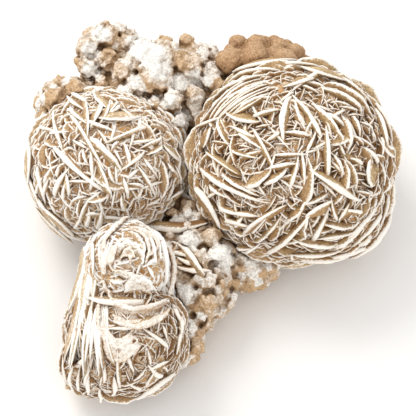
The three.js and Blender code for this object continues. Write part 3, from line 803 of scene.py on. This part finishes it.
# The crossing blades of the lower rose itself.
LOWER_BLADES = [
    (-8, 17.6, 0.8, 13.6, 16.8, 16, 3), (-3.2, 4.8, 8.8, 6, 16.8, 13.6, 3),
    (-14.8, -7.2, -18.4, -10, -22, -12.4, 1.6), (-14.4, -8, -17.6, -11, -21.2, -14, 1.4),
    (-21.6, -13.6, -23.4, -16.8, -24.4, -20, 1.4), (-13.6, -9.6, -15.2, -16.4, -17.2, -23.2, 2),
    (-8, -8.8, -8, -15.2, -8.8, -21.2, 2), (-9.6, -20.4, -10, -24, -10.4, -26.8, 2.6),
    (-2.8, -9.2, -2.8, -17.2, -2, -24, 2), (-3.6, -18.8, -4.2, -22, -5.2, -25.2, 2.2),
    (1.6, -6.8, 2.4, -10.8, 3.6, -14.8, 1.8), (7.2, -12.8, 5.2, -15.6, 2, -17.6, 1.4),
    (10.8, -12.8, 9.6, -16.8, 7.2, -20.4, 1.6), (2.8, -18.8, 5.2, -20.4, 7.2, -21.6, 2.4),
    (10.8, -12.8, 13.6, -15, 16.4, -16, 2.6), (18.4, -8, 14.8, -9.8, 10.8, -11.2, 1.4),
    (8.8, 3.6, 14, -1.2, 19.6, -6, 1.8), (21.2, 11.2, 22.4, 7, 22, 3.6, 2.2),
    (22, 3.6, 22, -1, 20, -6, 1.6), (14.4, 4.8, 16, 1.6, 16.8, -2, 1.4),
    (18.4, 14, 20.8, 10, 21.6, 5.6, 1.8), (16, -15.2, 9.6, -22.2, -1.2, -24.8, 2.8),
]
# The fan at its foot.
FAN_BLADES = [
    (-13.6, 4, -15.6, -2, -14, -8, 1.8), (-10, -2, -11, -8, -10.4, -13.6, 1.8),
    (-3, -5, -4, -10.6, -4, -15.6, 2), (-14.4, 1, -13.4, -6, -11.2, -11.2, 1.4),
    (-12.4, 9, -15.2, 3, -15.6, -3, 1.4), (-7, -4, -7.6, -9.4, -7.2, -14.6, 1.4),
]
# The bud's gypsum is nearly covered in frost, and the lower rose's holds the most sand.
dark_gypsum = frosted_gypsum("less_frosted_gypsum", "7E5A36", "B89268", "D4B88E", "FBF6EE", 1.98)
bud_gypsum = frosted_gypsum("heavily_frosted_gypsum", "B0906A", "DFC6A4", "E6D2B2", "FFFEFB", 1.2)
lower_random = np.random.default_rng(37)
flank_sheets = placed_blades(LOWER_ROSE, FLANK_BLADES, lower_random, SHEET_LIFT)
blade_piece("flank_blades", flank_sheets, FAR_BLANK, LOWER_ROSE, pale_gypsum, lower_random)
waist_random = np.random.default_rng(61)
waist_sheets = placed_blades(WAIST, WAIST_BLADES, waist_random, SHEET_LIFT)
blade_piece("waist_blades", waist_sheets, FAR_BLANK, WAIST, pale_gypsum, waist_random)
blade_net("neck", NECK, 110, 700, bud_gypsum, lower_random)
lower_large = placed_blades(LOWER_ROSE, LOWER_BLADES, lower_random)
lower_large += placed_blades(LOWER_FAN, FAN_BLADES, lower_random)
blade_piece("lower_rose_blades", lower_large, LARGE_BLANK, LOWER_ROSE, dark_gypsum, lower_random)
lower_far = far_blades(LOWER_ROSE, count=24, radius=12, seed=500)
blade_piece("lower_rose_far_blades", lower_far, FAR_BLANK, LOWER_ROSE, dark_gypsum, lower_random)
blade_net("lower_rose", LOWER_ROSE, 160, 1000, dark_gypsum, lower_random)
blade_net("lower_fan", LOWER_FAN, 60, 360, dark_gypsum, lower_random)
bud_petals = placed_blades(BUD, BUD_BLADES, lower_random)
blade_piece("bud_blades", bud_petals, LARGE_BLANK, BUD, bud_gypsum, lower_random)
blade_net("bud", BUD, 50, 380, bud_gypsum, lower_random)


# Thick frosted ridges on the bud and the lower rose, where sugary gypsum and sand overgrew the
# blades: petals round the bud's small dome, a shelf below it, the crescent ledge and the nose.
# Each is a wall of grains along a curve, and one skin is drawn round them all.
CHILD_BLANK = ball_blank(1)
RIDGE_LAYERS = (0.13, 0.06, 0)
RIDGE_END_SHARE = 0.5
RIDGE_FULLNESS = 0.6
GRAIN_ROUNDNESS = (0.75, 1.1)
RIDGE_JITTER_MM = 0.2
RIDGE_VOXEL_MM = 0.58
RIDGE_BUMPS_MM = [(1.2, 0.5)]

# A row is three places as (across, up) mm from the middle of its mass, half the thickness of
# the wall in mm, and its lift.
BUD_RIDGES = [
    (0.4, 18, -4, 14.8, -9.2, 8.4, 1.1, 1.05), (-5.2, 0, -2.4, 8.8, 4, 6, 1, 1.05),
    (-2.8, 0, 0.4, 5.6, 3.6, 1.6, 0.7, 1.06), (-1.6, 2.6, 1, 2.8, 1.4, -0.8, 0.7, 1.06),
    (2.4, 12.8, 8, 8.8, 7.6, 0, 1, 1.04), (5.2, 12.4, 11.6, 8.8, 10, 3.2, 1, 1.04),
    (-6, 6.8, -6.4, 1, -5.6, -3.6, 0.7, 1.03), (-9.6, 9, -10, 2, -9.2, -5, 0.7, 1.03),
    (-8, 9, -8.4, 2, -7.6, -5, 0.5, 1.03), (12.4, 9.6, 18.4, 0, 16, -14, 1.3, 1.03),
    (-4.8, -3.2, 2, -4.8, 9.6, -9.2, 1, 1.05), (-8.8, -7, -8, -10.4, -4, -13.6, 1, 1.04),
] + [(-1 + 0.4 * row, -9 - 1.5 * row, 4.8, -5.5 - 1.4 * row, 10 - 0.4 * row, -10 - 1.5 * row, 1,
      1.06 - 0.015 * row) for row in range(4)]
LOWER_RIDGES = [
    (-6.8 + 0.48 * row, 17.2 - 2.08 * row, 2.8 + 0.96 * row, 11.6 - 1.36 * row,
     16.8 + 0.16 * row, 15.2 - 0.88 * row, 1.25, 1.06 - 0.14 * math.sin(math.pi * row / 5))
    for row in range(6)
] + [
    (-8.8 + 0.6 * row, 1 + 2 * row, -3.6, -8.8 + 2.6 * row, 6 - 0.8 * row, -2.8 + 2 * row, 1.2,
     1.04 - 0.015 * row) for row in range(4)
] + [
    (-8.4, 18, -10.4, 10, -9.2, 0, 1, 1.04), (-18, 5, -15, -3, -9, -6, 0.9, 1.04),
    (19, 12.8, 23, 7.6, 21.6, 3, 1, 1.03), (-22, -8, -19, -11, -15, -9, 0.9, 1.04),
]


def ridge(mass, row, random):
    """The grains of one wall, as balls in three layers from its foot to its crest."""
    start, crest, end = np.array(row[0:2]), np.array(row[2:4]), np.array(row[4:6])
    pull = 2 * crest - (start + end) / 2
    steps = int(np.linalg.norm(crest - start) + np.linalg.norm(end - crest)) * 2 + 2
    for share in np.linspace(0, 1, steps):
        across, up = ((1 - share) ** 2 * start + 2 * share * (1 - share) * pull
                      + share ** 2 * end)
        swelling = math.sin(math.pi * share) ** RIDGE_FULLNESS
        radius = row[6] * (RIDGE_END_SHARE + (1 - RIDGE_END_SHARE) * swelling)
        for below in RIDGE_LAYERS:
            middle = mass.on_surface(across, up, row[7] - below)
            middle = middle + random.normal(0, RIDGE_JITTER_MM, 3)
            yield CHILD_BLANK, middle, radius * random.uniform(*GRAIN_ROUNDNESS, 3)


def sandy_crust(name, crevice, body, frost, frost_share, speck_shade=0.7):
    """Sand grains cemented by gypsum: rough, with painted shade in the crevices, frosted on the
    knobs, and painted light on the open and upturned ones.

    The grains are drawn at 0.9 mm, about three times their real size, or they wouldn't show.
    """
    hollow_mm, patch_mm, grain_mm, bump_mm = 3.5, 9, 0.9, 0.6
    material = bpy.data.materials.new(name)
    material.use_nodes = True
    tree = material.node_tree
    shader = tree.nodes["Principled BSDF"]
    place = add_node(tree, "ShaderNodeTexCoord").outputs["Object"]
    # Painted shade: ambient occlusion picks out the crevices, which take the dark crevice colour
    # and no frost.
    hollow = add_node(tree, "ShaderNodeAmbientOcclusion", {
        "samples": 6, "Distance": hollow_mm * MM})
    patches = add_node(tree, "ShaderNodeTexNoise", {
        "Scale": 1 / (patch_mm * MM), "Detail": 3}, {"Vector": place})
    grains = add_node(tree, "ShaderNodeTexNoise", {
        "Scale": 1 / (grain_mm * MM), "Detail": 2}, {"Vector": place})
    facing = add_node(tree, "ShaderNodeSeparateXYZ", None, {
        "Vector": add_node(tree, "ShaderNodeNewGeometry").outputs["Normal"]})
    open_share = add_node(tree, "ShaderNodeMapRange", {"From Min": 0.35, "From Max": 0.95}, {
        "Value": hollow.outputs["AO"]})
    sand = add_node(tree, "ShaderNodeMix", {
        "data_type": "RGBA", 6: colour(crevice), 7: colour(body)}, {0: open_share.outputs[0]})
    frosted = add_node(tree, "ShaderNodeAttribute", {"attribute_name": "frost"}).outputs["Fac"]
    covered = add_node(tree, "ShaderNodeMath", {"operation": "ADD", 1: frost_share}, {0: frosted})
    # Frost and painted light: faces that turn up are drawn whiter, on top of the frost there.
    frost_and_top_light = add_node(tree, "ShaderNodeMath", {"operation": "MULTIPLY_ADD", 1: 0.35}, {
        0: facing.outputs["Z"], 2: covered.outputs[0]})
    mottle = add_node(tree, "ShaderNodeMath", {"operation": "MULTIPLY_ADD", 1: 1.1}, {
        0: patches.outputs["Fac"], 2: frost_and_top_light.outputs[0]})
    speckle = add_node(tree, "ShaderNodeMath", {"operation": "MULTIPLY_ADD", 1: 0.9}, {
        0: grains.outputs["Fac"], 2: mottle.outputs[0]})
    # Painted light: open places, away from the crevices, are drawn whiter still.
    frost_and_painted_light = add_node(tree, "ShaderNodeMath", {"operation": "MULTIPLY_ADD", 1: 0.9}, {
        0: open_share.outputs[0], 2: speckle.outputs[0]})
    white = add_node(tree, "ShaderNodeMapRange", {"From Min": 1.9, "From Max": 2.7}, {
        "Value": frost_and_painted_light.outputs[0]})
    paint = add_node(tree, "ShaderNodeMix", {"data_type": "RGBA", 7: colour(frost)}, {
        0: white.outputs[0], 6: sand.outputs[2]})
    specks = add_node(tree, "ShaderNodeMapRange", {
        "From Min": 0.32, "From Max": 0.6, "To Min": speck_shade, "To Max": 1.03}, {
        "Value": grains.outputs["Fac"]})
    speckled = add_node(tree, "ShaderNodeMix", {
        "data_type": "RGBA", "blend_type": "MULTIPLY", 0: 1.0}, {
        6: paint.outputs[2], 7: specks.outputs[0]})
    tree.links.new(speckled.outputs[2], shader.inputs["Base Color"])
    shader.inputs["Roughness"].default_value = 0.9
    shader.inputs["Specular IOR Level"].default_value = 0.3
    bump = add_node(tree, "ShaderNodeBump", {"Strength": 1.0, "Distance": bump_mm * MM}, {
        "Height": grains.outputs["Fac"]})
    tree.links.new(bump.outputs["Normal"], shader.inputs["Normal"])
    return material


ridge_random = np.random.default_rng(43)
walls = []
for ridged_mass, ridge_rows in ((BUD, BUD_RIDGES), (LOWER_ROSE, LOWER_RIDGES)):
    for ridge_row in ridge_rows:
        walls += ridge(ridged_mass, ridge_row, ridge_random)
# Frost grown thick: nearly white, and rough as sugar, with painted shade in its crevices and
# painted light on its open tops.
thick_frost = sandy_crust("thick_frost", "8C6238", "DDBB90", "FBF6EE", 0.5, 0.84)
add_piece("frosted_ridges", remeshed(
    "frosted_ridges", joined_balls("frosted_ridges", walls), RIDGE_VOXEL_MM, RIDGE_BUMPS_MM),
    thick_frost)


# The crust behind the roses, and its left shoulder: desert sand cemented by gypsum into knobs
# the size of a pea, frosted white on many of them, with painted light where they stand free and
# face up, and painted shade in the crevices. It grew lump on lump, so one skin is drawn round
# hundreds of knobs and roughened.
CRUST = Mass([-20, 55, 24], [38, 27, 27])
CRUST_CORNER = Mass([-43, 70, 34], [14, 13, 14])
CRUST_LEFT = Mass([-57.5, 50, 28], [16, 14, 16])

KNOB_BLANK = ball_blank(2)
KNOB_INSET_MM = 3.2
CORE_INSET_MM = 0.6
LOWEST_KNOB = -0.6
KNOB_JITTER = 0.05
PLACED_KNOB_LIFT = 0.95
PLACED_KNOB_SHARE = 0.75


def knobs(mass, count, sizes_mm, random):
    """Round lumps over a mass, as their middles and radii."""
    for direction, index in spread(count):
        if direction[2] >= LOWEST_KNOB:
            shift = direction + random.normal(0, KNOB_JITTER, 3)
            middle = shift * (mass.half - KNOB_INSET_MM) + mass.middle
            yield middle, random.uniform(*sizes_mm)


def placed_knobs(mass, rows, share):
    """The lumps that the photograph shows, from rows of (across, up, radius) in mm."""
    for across, up, radius in rows:
        yield mass.on_surface(across, up, PLACED_KNOB_LIFT), radius * share


LUMP_ROUNDNESS = (0.75, 0.95)
CHILD_COUNT = 26
CHILD_SHARE = (0.24, 0.42)
CHILD_REACH = 0.85
CHILD_JITTER = 0.12
CHILD_FACING = -0.25


def grape(mass, middle, radius, random):
    """A lump and the smaller knobs that stand on its outer side."""
    yield KNOB_BLANK, middle, radius * random.uniform(*LUMP_ROUNDNESS, 3)
    outwards = unit((middle - mass.middle) / mass.half)
    for direction, index in spread(CHILD_COUNT):
        if np.dot(direction, outwards) > CHILD_FACING:
            child = direction + random.normal(0, CHILD_JITTER, 3)
            child_half = radius * random.uniform(*CHILD_SHARE, 3)
            yield CHILD_BLANK, middle + child * radius * CHILD_REACH, child_half


# Where the frost lies thick on the crust: (across, up) mm from its middle, and the radius.
THICK_FROST = [
    (-8.2, 22.4, 6.5), (-4.6, 18.4, 6.5), (-1.4, 13.6, 5), (6.2, 8.4, 4), (12.6, 9.6, 3.5),
    (-29, 12.4, 4.5), (1.8, 0.4, 3.5), (-8.2, -1.6, 3.6), (7.4, -6.8, 4), (24.6, 21.2, 4),
    (-29.4, 20.8, 4), (-25.4, 27.6, 4), (23.4, -61.6, 5.5), (10.6, -55.2, 4.5),
]
THICK_FROST_WHITE = 1.6
# Most lumps have little frost or much, and few have something between.
FROST_SPREAD = (0.8, 1.3)
BLOCK = 4000


def frosting(points, lumps, random):
    """How white each point is: each lump has its own frost, and the thick patches are added.

    The points are taken a block at a time, to spare memory.
    """
    middles = np.array([middle for middle, radius in lumps])
    radii = np.array([radius for middle, radius in lumps])
    whites = random.beta(*FROST_SPREAD, len(lumps))
    shares = np.zeros(len(points))
    for start in range(0, len(points), BLOCK):
        block = points[start:start + BLOCK]
        gaps = np.linalg.norm(block[:, None] - middles, axis=2) / radii
        shares[start:start + BLOCK] = whites[np.argmin(gaps, axis=1)]
    offset = points - CRUST.middle
    for across, up, radius in THICK_FROST:
        gap = np.hypot(offset @ ACROSS - across, offset @ UP - up) / radius
        shares = np.maximum(shares, THICK_FROST_WHITE * np.exp(-gap ** 2))
    return shares


crust_random = np.random.default_rng(51)


def crust_skin(name, masses, voxel_mm, bumps_mm):
    """Lumps over each mass, each with its own knobs, and those that the photograph shows."""
    balls, all_lumps = [], []
    for mass, lumps, count, sizes_mm in masses:
        balls.append((BODY_BLANK, mass.middle, mass.half - KNOB_INSET_MM - CORE_INSET_MM))
        grown = list(placed_knobs(mass, lumps, PLACED_KNOB_SHARE))
        grown += list(knobs(mass, count, sizes_mm, crust_random))
        all_lumps += grown
        for middle, radius in grown:
            balls += grape(mass, middle, radius, crust_random)
    skin = remeshed(name, joined_balls(name, balls), voxel_mm, bumps_mm)
    points = np.empty(3 * len(skin.vertices))
    skin.vertices.foreach_get("co", points)
    whites = frosting(points.reshape(-1, 3) / MM, all_lumps, crust_random)
    attribute = skin.attributes.new("frost", "FLOAT", "POINT")
    attribute.data.foreach_set("value", whites.astype(np.float32))
    return skin


CRUST_LUMPS = [
    (-25, 2, 5), (-16, 3, 5.5), (-15, 14, 6), (-9, 18, 8), (-1, 19, 8), (-4, 10, 8), (-10, 7, 6),
    (-4, -3, 5.5), (-10, -8, 5), (4, 1, 5.5), (13, 2, 5), (6, -8, 5.5), (15, -6, 5), (7, -17, 5),
    (11, 14, 7), (20, 12, 6.5), (23, 5, 7), (-34, 4, 5.5),
]
CRUST_CORNER_LUMPS = [
    (-8, 5, 6), (0, 9, 6), (8, 6, 5.5), (-7, -4, 5.5), (1, -1, 6), (-6.6, 9.4, 4.6),
    (-2, 11.4, 4.4), (4.6, 11.2, 4.6), (9.2, 8.8, 4.6), (12.6, 6, 4),
]
CRUST_LEFT_LUMPS = [(-6, 4, 5.5), (2, 7, 5.5), (9, 5, 5), (-1, -1, 6)]
CRUST_VOXEL_MM = 0.66
SHOULDER_VOXEL_MM = 0.65
CRUST_BUMPS_MM = [(1.4, 0.6)]

# Cemented sand with frost: matt and grainy, with painted shade in the crevices, and frost and
# painted light on the knobs.
crust_sand = sandy_crust("frosted_sand_crust", "5C3E22", "D6B48C", "FFFDF8", -0.25)
add_piece("sand_crust", crust_skin("sand_crust", [
    (CRUST, CRUST_LUMPS, 300, (2.2, 3.8)), (CRUST_CORNER, CRUST_CORNER_LUMPS, 90, (1.8, 3))],
    CRUST_VOXEL_MM, CRUST_BUMPS_MM), crust_sand)
add_piece("shoulder_crust", crust_skin("shoulder_crust", [
    (CRUST_LEFT, CRUST_LEFT_LUMPS, 110, (1.8, 3))],
    SHOULDER_VOXEL_MM, CRUST_BUMPS_MM), crust_sand)


# The slab behind the right rose: brown sand with no frost on it, worn into round lumps.
# It is cemented like the crust and lies close against it.
SLAB = Mass([20, 62.5, 40], [20, 13.5, 13])
SLAB_LUMPS = [(-13, 2, 7), (-3, 3, 7), (8, 1, 7)]
SLAB_LUMP_SHARE = 0.9
SLAB_LUMP_ROUNDNESS = (0.85, 1.1)
SLAB_VOXEL_MM = 0.8
SLAB_BUMPS_MM = [(4, 1), (1.2, 0.7)]

# Bare cemented sand: matt, brown and even, with painted shade in the crevices.
slab_sand = sandy_crust("brown_sand", "6B4A2A", "BE9670", "D4B490", 0.0)
slab_lumps = list(placed_knobs(SLAB, SLAB_LUMPS, SLAB_LUMP_SHARE))
slab_lumps += list(knobs(SLAB, 46, (3, 4.4), crust_random))
slab = [(BODY_BLANK, SLAB.middle, SLAB.half - KNOB_INSET_MM)]
slab += [(KNOB_BLANK, middle, radius * crust_random.uniform(*SLAB_LUMP_ROUNDNESS, 3))
         for middle, radius in slab_lumps]
add_piece("brown_slab", remeshed(
    "brown_slab", joined_balls("brown_slab", slab), SLAB_VOXEL_MM, SLAB_BUMPS_MM), slab_sand)


# The matrix underneath: the bed of cemented sand that joins the roses and the crust. It is
# trimmed flat where it rests, and shows only from the sides.
MATRIX = Mass([-2, 22, 9], [42, 36, 15])
MATRIX_FRONT = Mass([-19, -18, 8], [20, 30, 12])
MATRIX_VOXEL_MM = 1.45
MATRIX_BUMPS_MM = [(4, 1.4), (2.4, 0.9)]

# Coarser than the crust and in shade: brown sand with hardly any frost, and painted shade in
# the crevices.
matrix_sand = sandy_crust("cemented_desert_sand", "6E4A28", "C79E6E", "EAD6B6", -0.3)
add_piece("sandy_matrix", crust_skin("sandy_matrix", [
    (MATRIX, [], 130, (2.6, 4.4)), (MATRIX_FRONT, [], 110, (2, 3.6))],
    MATRIX_VOXEL_MM, MATRIX_BUMPS_MM), matrix_sand)


# The crust between the roses, over the saddle, its skirt and the tail: the same cemented sand
# in smaller knobs, grown down into the gap.
SADDLE = Mass([-6, -12, 16], [19, 34, 20])
SKIRT = Mass([11.5, -12, 12], [17.5, 14, 13])
TAIL = Mass([-11, -46, 11], [9, 13, 11])
SADDLE_LUMPS = [
    (-4, 7, 4.5), (5, 8, 5), (0, 0, 5), (9, 1, 5), (3, -9, 5), (-5, -15, 5), (3, -18, 5),
]
TAIL_LUMPS = [(1, 4, 5), (4, -3, 4.5), (-2, -9, 4.5)]
SADDLE_VOXEL_MM = 0.72
SADDLE_BUMPS_MM = [(1.2, 0.5)]
add_piece("saddle_crust", crust_skin("saddle_crust", [
    (SADDLE, SADDLE_LUMPS, 420, (1.2, 2.4)), (SKIRT, [], 170, (1.3, 2.4)),
    (TAIL, TAIL_LUMPS, 70, (1.6, 2.6))],
    SADDLE_VOXEL_MM, SADDLE_BUMPS_MM), crust_sand)


# Loose plates between the roses: a few thick gypsum blades that stand out of the crust there,
# grown like those of the roses.
SADDLE_BLADES = [
    (-16.2, 10.8, -5.4, 3.6, -2.6, -0.4, 2.4), (-11.4, 2.8, -8.2, 1.2, -5, 0, 2),
    (-10.6, 0.8, -5.8, -1.2, -1.4, -2.4, 2), (-10.6, -2.8, -3.4, -4.8, 3.8, -5.6, 2.4),
    (-26, 16, -14.4, 11, -1, 15, 3),
]
saddle_plates = placed_blades(SADDLE, SADDLE_BLADES, lower_random)
blade_piece("saddle_plates", saddle_plates, LARGE_BLANK, SADDLE, rose_gypsum, lower_random)
